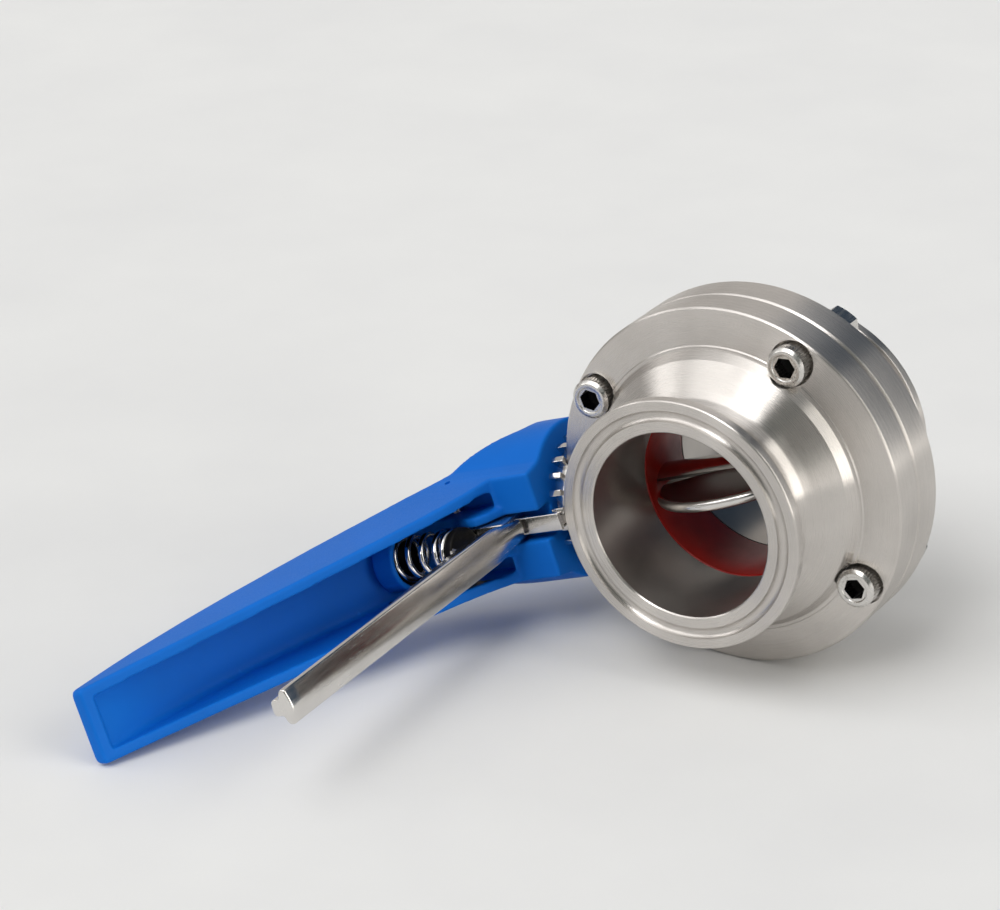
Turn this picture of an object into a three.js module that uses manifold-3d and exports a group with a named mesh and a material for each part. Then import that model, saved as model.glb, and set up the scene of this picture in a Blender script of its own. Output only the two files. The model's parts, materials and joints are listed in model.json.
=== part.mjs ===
// Sanitary clamp-end butterfly valve with a notched index plate and a trigger handle, lying on a table.
// Everything is built in the valve's own axes and laid down at the end:
//   x  along the flow, towards the front ferrule
//   y  across, the normal of the disc when the valve is open
//   z  along the stem, towards the handle
// Millimetres and degrees.

import * as THREE from "three";
import * as BufferGeometryUtils from "three/addons/utils/BufferGeometryUtils.js";
import Module from "manifold-3d";

const wasm = await Module();
wasm.setup();

// ---- driving dimensions -------------------------------------------------------------------------

const GAP = 0.3; // between pieces that touch
const SEGMENTS = 48; // round a full turn of the large turned pieces
const SMALL_SEGMENTS = 16; // round a full turn of the small pieces

const FACE_TO_FACE = 70;
const BORE_R = 23.75;
const FERRULE_R = 32;
const FERRULE_EDGE = 2.85; // thickness of the ferrule's flange at its rim
const FERRULE_BEVEL = 20; // back slope of the ferrule, which the clamp grips
const FERRULE_CHAMFER = 0.4;
const GASKET_R = 28;
const GASKET_DEPTH = 1.4;
const NECK_R = 25.8;

const RIM_R = 46.5;
const RIM_X = 9.7; // joint plane to the front edge of a half's rim
const RIM_CHAMFER = 0.5;
const STEP_R = 36; // foot of the step ring on the flange face
const STEP_X = 11.7;
const SHOULDER_R = 34.2; // top edge of the step ring, where the cone starts
const SHOULDER_X = 14.5;
const CONE_TO_NECK = [[28.6, 18.6], [26.9, 20.2], [NECK_R, 22.6]]; // [radius, x] down the cone's foot

const BOLT_CIRCLE_R = 40.3;
const BOLT_ANGLES = [45, 135, 225, 315]; // from the stem, in the flange
const BOLT_R = 3;
const BOLT_END_X = -17;
const BOLT_SOCKET_R = 2.9; // to the corners of the hexagon
const BOLT_SOCKET_DEPTH = 3.2;
const HEAD_R = 5;
const HEAD_LENGTH = 6;
const HEAD_SEAT_X = 8.1;
const HEAD_CHAMFER = 0.6;
const SPOT_FACE_R = 6.1;
const NUT_ACROSS_FLATS = 10;
const NUT_LENGTH = 5;

const SEAT_R = 28.2;
const SEAT_HALF = 9.3;
const SEAT_BORE_R = 23.6;

const DISC_R = 23.3;
const DISC_EDGE = 3; // thickness at the rounded rim
const DISC_CENTRE = 6;
const STEM_R = 5.5;
const SQUARE = 9; // side of the stem's square end
const SQUARE_TOP = 60.4;
const TRUNNION_END = -37.5;

const BUSH_R = 7.2;
const BUSH_START = 29; // distance from the flow axis, above and below
const LOWER_BUSH_END = -39.5;

const LAND_Z = 44.4; // flat milled on the rims under the index plate
const BOSS = 18; // square collar that locates the index plate
const BOSS_TOP = 49.4;

const PLATE_R = 17.4;
const PLATE_NOTCH_R = 14.6;
const PLATE_BOTTOM = 44.7;
const PLATE_TOP = 48.2;
const NOTCH_PITCH = 15;
const NOTCH_WIDTH = 3;

const HUB_R = 20.6;
const HUB_BOTTOM = 50;
const HUB_TOP = 61;
const HEAD_FRONT_X = 20; // flat front of the handle's head
const HEAD_FRONT_HALF = 14;
const TIP_X = 128;
const RIM_LINE = [[HEAD_FRONT_X, 61.8], [TIP_X, 114]]; // [x, z] of the arm's edge that faces the trigger
// [x, z] of the handle's back, from the tip to the hub
const BACK_LINE = [
  [TIP_X, 117.6],
  [110, 116.2],
  [95, 113.8],
  [80, 110.4],
  [64, 105.6],
  [48, 100],
  [34, 93.8],
  [22, 86.6],
  [13, 78.4],
  [6, 69.4],
  [0, HUB_TOP],
];
// [x, half width] of the arm
const HALF_WIDTHS = [
  [12.5, 15.6],
  [20, 14],
  [34, 12.6],
  [60, 11.5],
  [90, 10.6],
  [TIP_X, 9.8],
];
const WALL = 3;
const FLOOR = 4; // thickness of the handle's back over the channel
const CHANNEL_START = 24.5;
const MOUTH_LINE = [[HEAD_FRONT_X + 1, 62.6], [CHANNEL_START, 69]]; // [x, z] of the channel's sloping mouth
const SLOT_HALF = 4; // slot in the head for the trigger's root
const SLOT_TOP = 79;
const CHEEK_OUTER = 6.4; // the cheeks stand on both sides of the slot and carry the trigger's pin
const CHEEK_BACK = [[24, 80], [17, 80]];
const CHEEK_TIP = [[17, 61], [20, 60.4], [24.5, 62.8], [26.6, 65], [27, 67.4], [26.2, 70.4], [24, 73.6]];
const POCKET_X = [17, CHANNEL_START + 1]; // the pockets beside the cheeks
const POCKET_Z = [62.4, 79];
const SCREW_WELL_R = 8.5;
const WASHER_R = 7;
const WASHER_THICKNESS = 1.6;
const SCREW_LENGTH = 12;
const ABOVE = 120; // a height clear of the whole handle

const PIVOT_X = 18.5;
const PIVOT_Z = 76;
const PIN_R = 1.75;
const PIN_HALF = 13.6; // a little short of the handle's sides

const NOSE_HALF = 1.3;
const NOSE_BOTTOM = 45.6;
const NOSE_FRONT_X = 18;
const NOSE_PLATE_HALF = 2.3; // the wider plate in front of the nose, clear of the index plate's rim
const NOSE_PLATE_X = [17.7, 18.9];
const NOSE_BACK_X = 15.2;
const ROOT_HALF = 3.6;
const ROOT_EYE_R = 3.5; // round the pin
const ROOT_LINE = [[22, 58], [26, 58], [26, 68], [23, 70]]; // [x, z] of the root below the eye
const ARM_TIP_X = 128;
const FLANGE_LINE = [[20.2, 56], [ARM_TIP_X, 51], [ARM_TIP_X, 54], [20.2, 59.4]];
const FLANGE_HALVES = [[20, 2.6], [22, 2.7], [26, 3.4], [31, 4.4], [ARM_TIP_X + 1, 4.4]]; // at each x
const RIB_LINE = [[24, 58], [ARM_TIP_X - 0.5, 53], [ARM_TIP_X - 0.5, 57.6], [24, 68]];
const RIB_HALF = 2.3;

const SPRING_X = 32;
const SPRING_R = 5.4; // to the middle of the wire
const SPRING_WIRE_R = 0.8;
const SPRING_TURNS = 4.5;
const SPRING_BOTTOM = 68.9; // where it stands on the trigger's pad
const SPRING_TOP = 86.2; // where it meets the bottom of its cup in the handle
const CUP_R = 8.2;
const CUP_HOLLOW_R = 6.7;
const CUP_DEPTH = 2.4;
const PAD_THICKNESS = 2.2;
const PEG_R = 3.4; // centres the spring
const PEG_LENGTH = 2.8;

// ---- materials ----------------------------------------------------------------------------------

const steel = (color, roughness) => new THREE.MeshStandardMaterial({ color, roughness, metalness: 1 });
const plastic = (color, roughness) => new THREE.MeshStandardMaterial({ color, roughness, metalness: 0 });

const turnedSteel = steel(0xb9b4ae, 0.35);
const polishedSteel = steel(0xd2cec8, 0.12);
const fastenerSteel = steel(0xa8a5a0, 0.3);
const springSteel = steel(0xc4c2bd, 0.2);
const bluePlastic = plastic(0x1c5fbe, 0.42);
const redSilicone = plastic(0x96140f, 0.5);
const whitePlastic = plastic(0xe6e4dc, 0.5);

// ---- solids -------------------------------------------------------------------------------------

const rad = THREE.MathUtils.degToRad;

// A three.js geometry as a solid that can be cut and joined.
function solid(geometry) {
  const bare = geometry.clone();
  bare.deleteAttribute("normal");
  bare.deleteAttribute("uv");
  const merged = BufferGeometryUtils.mergeVertices(bare, 1e-4);
  const mesh = new wasm.Mesh({
    numProp: 3,
    vertProperties: Float32Array.from(merged.attributes.position.array),
    triVerts: Uint32Array.from(merged.index.array),
  });
  return new wasm.Manifold(mesh);
}

// A solid back as a three.js geometry.
function toGeometry(body) {
  const mesh = body.getMesh();
  const geometry = new THREE.BufferGeometry();
  geometry.setAttribute("position", new THREE.BufferAttribute(mesh.vertProperties, 3));
  geometry.setIndex(new THREE.BufferAttribute(mesh.triVerts, 1));
  return geometry;
}

function piece(name, shape, material) {
  const geometry = shape instanceof THREE.BufferGeometry ? shape : toGeometry(shape);
  const mesh = new THREE.Mesh(geometry, material);
  mesh.name = name;
  return mesh;
}

// A closed outline of [radius, height] points turned about the x, y or z axis, up the outside first.
function turned(outline, axis, segments) {
  const closed = [...outline, outline[0]].map(([r, h]) => new THREE.Vector2(r, h));
  const geometry = new THREE.LatheGeometry(closed, segments);
  if (axis === "x") geometry.rotateZ(rad(-90));
  if (axis === "z") geometry.rotateX(rad(90));
  return geometry;
}

// A cylinder of radius r along an axis, from one coordinate to the other.
function rod(r, from, to, axis, segments = SMALL_SEGMENTS) {
  const geometry = new THREE.CylinderGeometry(r, r, to - from, segments);
  geometry.translate(0, (from + to) / 2, 0);
  if (axis === "x") geometry.rotateZ(rad(-90));
  if (axis === "z") geometry.rotateX(rad(90));
  return geometry;
}

function box(x0, x1, y0, y1, z0, z1) {
  const geometry = new THREE.BoxGeometry(x1 - x0, y1 - y0, z1 - z0);
  return geometry.translate((x0 + x1) / 2, (y0 + y1) / 2, (z0 + z1) / 2);
}

function flatShape(points) {
  return new THREE.Shape(points.map(([x, y]) => new THREE.Vector2(x, y)));
}

// An outline of [x, z] points in the plane of the stem and the flow, made 2 * half wide across it.
function sideways(points, half) {
  const settings = { depth: 2 * half, bevelEnabled: false };
  const geometry = new THREE.ExtrudeGeometry(flatShape(points), settings);
  return geometry.rotateX(rad(90)).translate(0, half, 0);
}

// An outline in the plane across the stem, from one height to another.
function upright(shape, z0, z1) {
  const geometry = new THREE.ExtrudeGeometry(shape, { depth: z1 - z0, bevelEnabled: false });
  return geometry.translate(0, 0, z0);
}

// Points on a circular arc, angles in degrees.
function arc(cx, cy, r, from, to, steps) {
  return Array.from({ length: steps + 1 }, (_, i) => {
    const a = rad(from + ((to - from) * i) / steps);
    return [cx + r * Math.cos(a), cy + r * Math.sin(a)];
  });
}

// Where the bolt at this angle stands in the flange: [y, z].
function boltPlace(angle) {
  return [BOLT_CIRCLE_R * Math.sin(rad(angle)), BOLT_CIRCLE_R * Math.cos(rad(angle))];
}

// ---- body ---------------------------------------------------------------------------------------

// The section of one half, in [radius, distance from the joint plane].
function halfSection() {
  const face = FACE_TO_FACE / 2;
  const bevelBack = face - FERRULE_EDGE - (FERRULE_R - NECK_R) * Math.tan(rad(FERRULE_BEVEL));
  return [
    [SEAT_R + GAP, GAP / 2],
    [RIM_R - RIM_CHAMFER, GAP / 2],
    [RIM_R, GAP / 2 + RIM_CHAMFER],
    [RIM_R, RIM_X - RIM_CHAMFER],
    [RIM_R - RIM_CHAMFER, RIM_X],
    [STEP_R, STEP_X],
    [STEP_R - 1, STEP_X + 0.7],
    [SHOULDER_R + 0.4, SHOULDER_X - 0.3],
    [SHOULDER_R, SHOULDER_X],
    ...CONE_TO_NECK,
    [NECK_R, bevelBack],
    [FERRULE_R, face - FERRULE_EDGE],
    [FERRULE_R, face - FERRULE_CHAMFER],
    [FERRULE_R - FERRULE_CHAMFER, face],
    ...arc(GASKET_R, face, GASKET_DEPTH, 0, -180, 4),
    [BORE_R + FERRULE_CHAMFER, face],
    [BORE_R, face - FERRULE_CHAMFER],
    [BORE_R, SEAT_HALF + GAP],
    [SEAT_R + GAP, SEAT_HALF + GAP],
  ];
}

// One half of the body, built on the +x side, with its spot faces for the bolts seatX from the joint plane.
function bodyHalf(seatX) {
  let half = solid(turned(halfSection(), "x", SEGMENTS));
  const land = box(-1, RIM_X + 1, -RIM_R, RIM_R, LAND_Z, RIM_R + 1);
  const boss = box(GAP / 2, BOSS / 2, -BOSS / 2, BOSS / 2, LAND_Z - 2, BOSS_TOP);
  half = half.subtract(solid(land)).add(solid(boss));
  for (const angle of BOLT_ANGLES) {
    const [y, z] = boltPlace(angle);
    half = half.subtract(solid(rod(BOLT_R + GAP, -1, RIM_X + 1, "x").translate(0, y, z)));
    half = half.subtract(solid(rod(SPOT_FACE_R, seatX, FACE_TO_FACE, "x").translate(0, y, z)));
  }
  half = half.subtract(solid(rod(BUSH_R + GAP, BUSH_START - 2, BOSS_TOP + 1, "z")));
  return half.subtract(solid(rod(BUSH_R + GAP, LOWER_BUSH_END - GAP, -BUSH_START + 2, "z")));
}

function bodyRear() {
  return toGeometry(bodyHalf(RIM_X)).rotateZ(rad(180));
}

// ---- bolts and nuts -----------------------------------------------------------------------------

// A socket cap screw along +x, its head's seat at x = 0 and its shank behind it.
function capScrew(length) {
  const socket = rod(BOLT_SOCKET_R, HEAD_LENGTH - BOLT_SOCKET_DEPTH, HEAD_LENGTH + 1, "x", 6);
  const outline = [
    [0, -length],
    [BOLT_R - HEAD_CHAMFER, -length],
    [BOLT_R, -length + HEAD_CHAMFER],
    [BOLT_R, 0],
    [HEAD_R, 0],
    [HEAD_R, HEAD_LENGTH - HEAD_CHAMFER],
    [HEAD_R - HEAD_CHAMFER, HEAD_LENGTH],
    [0, HEAD_LENGTH],
  ];
  return solid(turned(outline, "x", SMALL_SEGMENTS)).subtract(solid(socket));
}

// A hexagon nut along x, resting on x = 0 and reaching towards -x.
function hexNut() {
  const cornerR = NUT_ACROSS_FLATS / Math.sqrt(3);
  const hexagon = rod(cornerR, -NUT_LENGTH, 0, "x", 6);
  return solid(hexagon).subtract(solid(rod(BOLT_R + GAP, -NUT_LENGTH - 1, 1, "x")));
}

function boltSet() {
  const group = new THREE.Group();
  BOLT_ANGLES.forEach((angle, i) => {
    const [y, z] = boltPlace(angle);
    const headSeat = HEAD_SEAT_X + GAP;
    const bolt = piece(`body_bolt_${i + 1}`, capScrew(headSeat - BOLT_END_X), fastenerSteel);
    bolt.position.set(headSeat, y, z);
    const nut = piece(`body_nut_${i + 1}`, hexNut(), fastenerSteel);
    nut.position.set(-RIM_X - GAP, y, z);
    nut.rotation.x = rad(-angle);
    group.add(bolt, nut);
  });
  return group;
}

// ---- seat, disc and bushes ----------------------------------------------------------------------

function seat() {
  const ring = turned(
    [
      [SEAT_BORE_R, -SEAT_HALF],
      [SEAT_R, -SEAT_HALF],
      [SEAT_R, SEAT_HALF],
      [SEAT_BORE_R, SEAT_HALF],
    ],
    "x",
    SEGMENTS,
  );
  return solid(ring).subtract(solid(rod(STEM_R + GAP, -SEAT_R - 2, SEAT_R + 2, "z")));
}

// The disc, in one piece with its upper stem, its lower trunnion and the square that carries the handle.
function discAndStem() {
  const edgeR = DISC_EDGE / 2;
  const plate = turned(
    [
      [0, -DISC_CENTRE / 2],
      [STEM_R, -DISC_CENTRE / 2],
      ...arc(DISC_R - edgeR, 0, edgeR, -90, 90, 8),
      [STEM_R, DISC_CENTRE / 2],
      [0, DISC_CENTRE / 2],
    ],
    "y",
    SEGMENTS,
  );
  const stem = turned(
    [
      [0, TRUNNION_END],
      [STEM_R - 0.8, TRUNNION_END],
      [STEM_R, TRUNNION_END + 0.8],
      [STEM_R, HUB_BOTTOM],
      [0, HUB_BOTTOM],
    ],
    "z",
    2 * SMALL_SEGMENTS,
  );
  const square = box(-SQUARE / 2, SQUARE / 2, -SQUARE / 2, SQUARE / 2, HUB_BOTTOM - 1, SQUARE_TOP);
  const roundedSquare = solid(square).intersect(solid(rod(STEM_R, HUB_BOTTOM - 1, SQUARE_TOP, "z")));
  const screwHole = rod(BOLT_R + GAP, SQUARE_TOP - SCREW_LENGTH - 1, SQUARE_TOP + 1, "z");
  return solid(plate).add(solid(stem)).add(roundedSquare).subtract(solid(screwHole));
}

function upperBush() {
  const outline = [
    [STEM_R + GAP, BUSH_START],
    [BUSH_R, BUSH_START],
    [BUSH_R, BOSS_TOP],
    [STEM_R + GAP, BOSS_TOP],
  ];
  return turned(outline, "z", SMALL_SEGMENTS);
}

// A cup, closed under the trunnion.
function lowerBush() {
  const outline = [
    [0, LOWER_BUSH_END],
    [BUSH_R, LOWER_BUSH_END],
    [BUSH_R, -BUSH_START],
    [STEM_R + GAP, -BUSH_START],
    [STEM_R + GAP, TRUNNION_END - GAP],
    [0, TRUNNION_END - GAP],
  ];
  return turned(outline, "z", SMALL_SEGMENTS);
}

// ---- index plate --------------------------------------------------------------------------------

// A round plate with a notch every NOTCH_PITCH degrees and a square hole that keeps it from turning.
function indexPlate() {
  const halfTip = THREE.MathUtils.radToDeg(Math.asin(NOTCH_WIDTH / 2 / PLATE_R));
  const halfRoot = THREE.MathUtils.radToDeg(Math.asin(NOTCH_WIDTH / 2 / PLATE_NOTCH_R));
  const outline = [];
  for (let angle = 0; angle < 360; angle += NOTCH_PITCH) {
    outline.push(...arc(0, 0, PLATE_NOTCH_R, angle - halfRoot, angle + halfRoot, 1));
    outline.push(...arc(0, 0, PLATE_R, angle + halfTip, angle + NOTCH_PITCH - halfTip, 2));
  }
  const h = BOSS / 2 + GAP;
  const shape = flatShape(outline);
  shape.holes.push(flatShape([[-h, -h], [-h, h], [h, h], [h, -h]]));
  return upright(shape, PLATE_BOTTOM, PLATE_TOP);
}

// ---- handle -------------------------------------------------------------------------------------

// The height of the handle's back at x.
function backAt(x) {
  const i = Math.max(1, BACK_LINE.findIndex(([px]) => px <= x));
  const [[x1, z1], [x0, z0]] = [BACK_LINE[i - 1], BACK_LINE[i]];
  return z0 + ((z1 - z0) * (x - x0)) / (x1 - x0);
}

// The arm's plan outline from x = start to the tip, its sides and its tip set in by `inset`.
function armPlan(start, inset) {
  const rest = HALF_WIDTHS.filter(([x]) => x > start);
  const outside = [[start, rest[0][1]], ...rest];
  const side = outside.map(([x, half]) => [Math.min(x, TIP_X - inset), half - inset]);
  return flatShape([...side.map(([x, y]) => [x, -y]), ...side.reverse()]);
}

// The head and the arm before anything is cut out of them.
function handleBlank() {
  const side = sideways(
    [[0, HUB_BOTTOM], [HEAD_FRONT_X, HUB_BOTTOM], ...RIM_LINE, ...BACK_LINE, [0, HUB_TOP - 1]],
    HUB_R + 1,
  );
  const roundBack = arc(0, 0, HUB_R, 50, 310, 40);
  const front = [[HEAD_FRONT_X, -HEAD_FRONT_HALF], [HEAD_FRONT_X, HEAD_FRONT_HALF]];
  const headPlan = flatShape([...roundBack, ...front]);
  const head = solid(upright(headPlan, HUB_BOTTOM, ABOVE));
  const arm = solid(upright(armPlan(HALF_WIDTHS[0][0], 0), HUB_BOTTOM, ABOVE));
  const hub = turned(
    [
      [0, HUB_BOTTOM],
      [HUB_R, HUB_BOTTOM],
      [HUB_R - 0.3, HUB_TOP - 1.5],
      [HUB_R - 1.8, HUB_TOP],
      [0, HUB_TOP],
    ],
    "z",
    SEGMENTS,
  );
  return solid(side).intersect(head.add(arm)).add(solid(hub));
}

// The channel inside the arm: its mouth slopes up from the head's front to where the walls run straight.
function channel() {
  const tip = TIP_X - WALL;
  const inside = BACK_LINE.map(([x]) => x).filter((x) => x > CHANNEL_START && x < tip);
  const floor = [tip, ...inside, CHANNEL_START].map((x) => [x, backAt(x) - FLOOR]).reverse();
  const outline = [[HEAD_FRONT_X + 1, HUB_BOTTOM], ...MOUTH_LINE, ...floor, [tip, HUB_TOP]];
  const side = sideways(outline, HUB_R);
  return solid(side).intersect(solid(upright(armPlan(HEAD_FRONT_X + 1, WALL), HUB_BOTTOM - 1, ABOVE)));
}

// The slot in the head for the trigger's root and nose, round above the pin.
function triggerSlot() {
  const backX = PIVOT_X - ROOT_EYE_R - GAP;
  const frontX = CHANNEL_START + 1;
  const aboveEye = arc(PIVOT_X, PIVOT_Z, ROOT_EYE_R + GAP, 60, 180, 6);
  const outline = [[frontX, HUB_BOTTOM - 1], [frontX, SLOT_TOP], ...aboveEye, [backX, HUB_BOTTOM - 1]];
  return solid(sideways(outline, SLOT_HALF));
}

// The cheeks that carry the trigger's pin, and the pockets between them and the arm's sides.
function cheeks() {
  const outline = [...CHEEK_TIP, ...CHEEK_BACK];
  return solid(sideways(outline, CHEEK_OUTER)).subtract(solid(sideways(outline, SLOT_HALF)));
}

function pockets() {
  const outer = HEAD_FRONT_HALF - WALL;
  return solid(box(...POCKET_X, CHEEK_OUTER, outer, ...POCKET_Z)).add(
    solid(box(...POCKET_X, -outer, -CHEEK_OUTER, ...POCKET_Z)),
  );
}

// The cup that holds the spring's far end, and the room inside it.
function springCup() {
  const bottom = SPRING_TOP + GAP;
  const cup = rod(CUP_R, bottom - CUP_DEPTH, bottom + FLOOR, "z").translate(SPRING_X, 0, 0);
  const hollow = rod(CUP_HOLLOW_R, bottom - 2 * CUP_DEPTH, bottom, "z").translate(SPRING_X, 0, 0);
  return { cup: solid(cup).intersect(handleBlank()), hollow: solid(hollow) };
}

function handle() {
  const { cup, hollow } = springCup();
  const h = SQUARE / 2 + GAP;
  const squareHole = solid(box(-h, h, -h, h, HUB_BOTTOM - 1, HUB_TOP + 1));
  const screwWell = solid(rod(SCREW_WELL_R, HUB_TOP, ABOVE, "z"));
  const pinHole = solid(rod(PIN_R + GAP, -HUB_R, HUB_R, "y").translate(PIVOT_X, 0, PIVOT_Z));
  const hollowed = handleBlank().subtract(channel()).subtract(pockets()).add(cheeks());
  const shell = hollowed.subtract(triggerSlot()).add(cup);
  return [hollow, screwWell, squareHole, pinHole].reduce((body, cut) => body.subtract(cut), shell);
}

function handleScrew() {
  return toGeometry(capScrew(SCREW_LENGTH)).rotateY(rad(-90));
}

function handleWasher() {
  const outline = [
    [BOLT_R + GAP, 0],
    [WASHER_R, 0],
    [WASHER_R, WASHER_THICKNESS],
    [BOLT_R + GAP, WASHER_THICKNESS],
  ];
  return turned(outline, "z", SMALL_SEGMENTS);
}

// ---- trigger ------------------------------------------------------------------------------------

// The lever: a nose that drops into a notch, a root with an eye on the pin, and a T-shaped arm.
function trigger() {
  const [rootStart] = ROOT_LINE;
  const [plateBack, plateFront] = NOSE_PLATE_X;
  const plan = [...FLANGE_HALVES.map(([x, half]) => [x, -half]), ...FLANGE_HALVES.toReversed()];
  const flangePlan = solid(upright(flatShape(plan), NOSE_BOTTOM, HUB_TOP));
  const widest = Math.max(...FLANGE_HALVES.map(([, half]) => half));
  const eye = arc(PIVOT_X, PIVOT_Z, ROOT_EYE_R, 0, 180, 8);
  const padTop = SPRING_BOTTOM - GAP;
  const parts = [
    box(NOSE_BACK_X, NOSE_FRONT_X, -NOSE_HALF, NOSE_HALF, NOSE_BOTTOM, rootStart[1] + FLOOR),
    sideways([[PIVOT_X - ROOT_EYE_R, rootStart[1] + 0.6], ...ROOT_LINE, ...eye], ROOT_HALF),
    box(plateBack, plateFront, -NOSE_PLATE_HALF, NOSE_PLATE_HALF, NOSE_BOTTOM, rootStart[1] + WALL),
    sideways(RIB_LINE, RIB_HALF),
    rod(SPRING_R + SPRING_WIRE_R, padTop - PAD_THICKNESS, padTop, "z").translate(SPRING_X, 0, 0),
    rod(PEG_R, padTop - PAD_THICKNESS, padTop + PEG_LENGTH, "z").translate(SPRING_X, 0, 0),
  ];
  const hole = rod(PIN_R + GAP, -SLOT_HALF, SLOT_HALF, "y").translate(PIVOT_X, 0, PIVOT_Z);
  return parts
    .map(solid)
    .reduce((body, next) => body.add(next), solid(sideways(FLANGE_LINE, widest)).intersect(flangePlan))
    .subtract(solid(hole));
}

class Helix extends THREE.Curve {
  constructor(radius, z0, z1, turns) {
    super();
    Object.assign(this, { radius, z0, z1, turns });
  }

  getPoint(t, target = new THREE.Vector3()) {
    const a = t * this.turns * 2 * Math.PI;
    const z = this.z0 + (this.z1 - this.z0) * t;
    return target.set(this.radius * Math.cos(a), this.radius * Math.sin(a), z);
  }
}

function springWire(z0, z1) {
  const section = new THREE.Shape().absarc(0, 0, SPRING_WIRE_R, 0, 2 * Math.PI);
  const path = new Helix(SPRING_R, z0 + SPRING_WIRE_R, z1 - SPRING_WIRE_R, SPRING_TURNS);
  const settings = { steps: 12 * SPRING_TURNS, extrudePath: path, curveSegments: 3 };
  return new THREE.ExtrudeGeometry(section, settings);
}

// ---- assembly -----------------------------------------------------------------------------------

function valve() {
  const group = new THREE.Group();
  const screw = piece("handle_screw", handleScrew(), fastenerSteel);
  screw.position.z = HUB_TOP + 2 * GAP + WASHER_THICKNESS;
  const washer = piece("handle_washer", handleWasher(), fastenerSteel);
  washer.position.z = HUB_TOP + GAP;
  const pin = piece("trigger_pin", rod(PIN_R, -PIN_HALF, PIN_HALF, "y"), fastenerSteel);
  pin.position.set(PIVOT_X, 0, PIVOT_Z);
  const spring = piece("trigger_spring", springWire(SPRING_BOTTOM, SPRING_TOP), springSteel);
  spring.position.x = SPRING_X;
  group.add(
    piece("body_front", bodyHalf(HEAD_SEAT_X), turnedSteel),
    piece("body_rear", bodyRear(), turnedSteel),
    boltSet(),
    piece("seat", seat(), redSilicone),
    piece("disc_and_stem", discAndStem(), polishedSteel),
    piece("upper_bush", upperBush(), whitePlastic),
    piece("lower_bush", lowerBush(), whitePlastic),
    piece("index_plate", indexPlate(), polishedSteel),
    piece("handle", handle(), bluePlastic),
    washer,
    screw,
    piece("trigger", trigger(), polishedSteel),
    pin,
    spring,
  );
  return group;
}

// Lays the valve on the table: it rolls about the flow axis until the rims and the handle's tip both touch,
// with the flow along -Y, and stands over the origin.
function layDown(group) {
  const [tipX, tipHalf] = HALF_WIDTHS.at(-1);
  const tipZ = backAt(tipX);
  const roll = Math.asin(RIM_R / Math.hypot(tipZ, tipHalf)) - Math.atan2(tipHalf, tipZ);
  const flow = new THREE.Vector3(0, -1, 0);
  const across = new THREE.Vector3(-Math.sin(roll), 0, Math.cos(roll));
  const stem = new THREE.Vector3().crossVectors(flow, across);
  group.quaternion.setFromRotationMatrix(new THREE.Matrix4().makeBasis(flow, across, stem));
  group.updateMatrixWorld(true);
  const bounds = new THREE.Box3().setFromObject(group, true);
  const centre = bounds.getCenter(new THREE.Vector3());
  group.position.set(-centre.x, -centre.y, -bounds.min.z);
  return group;
}

export default layDown(valve());
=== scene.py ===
"""The looks of a hygienic clamp-end butterfly valve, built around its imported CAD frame.

Pieces are modelled in millimetres in the valve's own axes, and placed in the row frame at the end:
    x  along the flow, towards the front ferrule
    y  across, the normal of the disc when the valve is open
    z  along the stem, towards the handle
"""

import json
import math

import bmesh
import bpy
from mathutils import Matrix, Vector


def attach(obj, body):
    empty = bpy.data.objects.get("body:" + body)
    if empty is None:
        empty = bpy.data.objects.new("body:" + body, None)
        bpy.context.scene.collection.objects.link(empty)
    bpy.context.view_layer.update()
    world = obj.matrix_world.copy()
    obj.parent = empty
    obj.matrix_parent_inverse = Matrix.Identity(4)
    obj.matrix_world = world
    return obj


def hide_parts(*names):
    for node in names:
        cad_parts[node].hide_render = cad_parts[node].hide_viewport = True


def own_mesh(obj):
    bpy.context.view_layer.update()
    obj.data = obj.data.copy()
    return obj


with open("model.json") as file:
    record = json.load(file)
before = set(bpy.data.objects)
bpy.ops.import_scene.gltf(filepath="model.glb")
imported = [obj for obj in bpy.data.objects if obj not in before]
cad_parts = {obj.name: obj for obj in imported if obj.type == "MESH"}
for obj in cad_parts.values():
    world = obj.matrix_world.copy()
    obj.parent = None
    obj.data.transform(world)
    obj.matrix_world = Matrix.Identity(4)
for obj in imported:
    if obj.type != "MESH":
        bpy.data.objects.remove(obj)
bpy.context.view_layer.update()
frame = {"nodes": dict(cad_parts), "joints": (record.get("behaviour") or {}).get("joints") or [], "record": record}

# ---- frame --------------------------------------------------------------------------------------

JOINTS = {joint["name"]: joint for joint in frame["joints"]}
MOUNTS = {mount["name"]: mount for mount in frame["record"]["mounts"]}
STEM = Vector(JOINTS["stem_turn"]["axis"])
FLOW = Vector(MOUNTS["front_ferrule_face"]["axis"])
ACROSS = STEM.cross(FLOW)
ORIGIN = Vector(JOINTS["stem_turn"]["pos_m"])
METRES = 0.001
PLACE = (
    Matrix.Translation(ORIGIN)
    @ Matrix((FLOW, ACROSS, STEM)).transposed().to_4x4()
    @ Matrix.Scale(METRES, 4)
)
TO_VALVE = PLACE.inverted()
PIVOT = TO_VALVE @ Vector(JOINTS["trigger_squeeze"]["pos_m"])

# ---- sizes, in millimetres ----------------------------------------------------------------------

FACE = 35  # flow axis: joint plane to ferrule face
BORE_R = 23.75
FERRULE_R = 32
GROOVE_R = 28
NECK_R = 25.8
RIM_R = 46.4
RIM_X = 9.7
SEAT_R = 28.2
SEAT_HALF = 9.3
SEAT_BORE_R = 23.6
HALF_GAP = 0.15

BOLT_CIRCLE_R = 40.3
BOLT_ANGLES = (45, 135, 225, 315)
BOLT_R = 3
BOLT_END_X = -17
HEAD_R = 5
HEAD_LENGTH = 6
HEAD_SEAT_X = 8.4
SOCKET_R = 2.8
KNURLS = 36
KNURL_DEPTH = 0.3
SPOT_FACE_R = 5.6
NUT_FLATS = 10
NUT_LENGTH = 5
NUT_SEAT_X = -10

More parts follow.
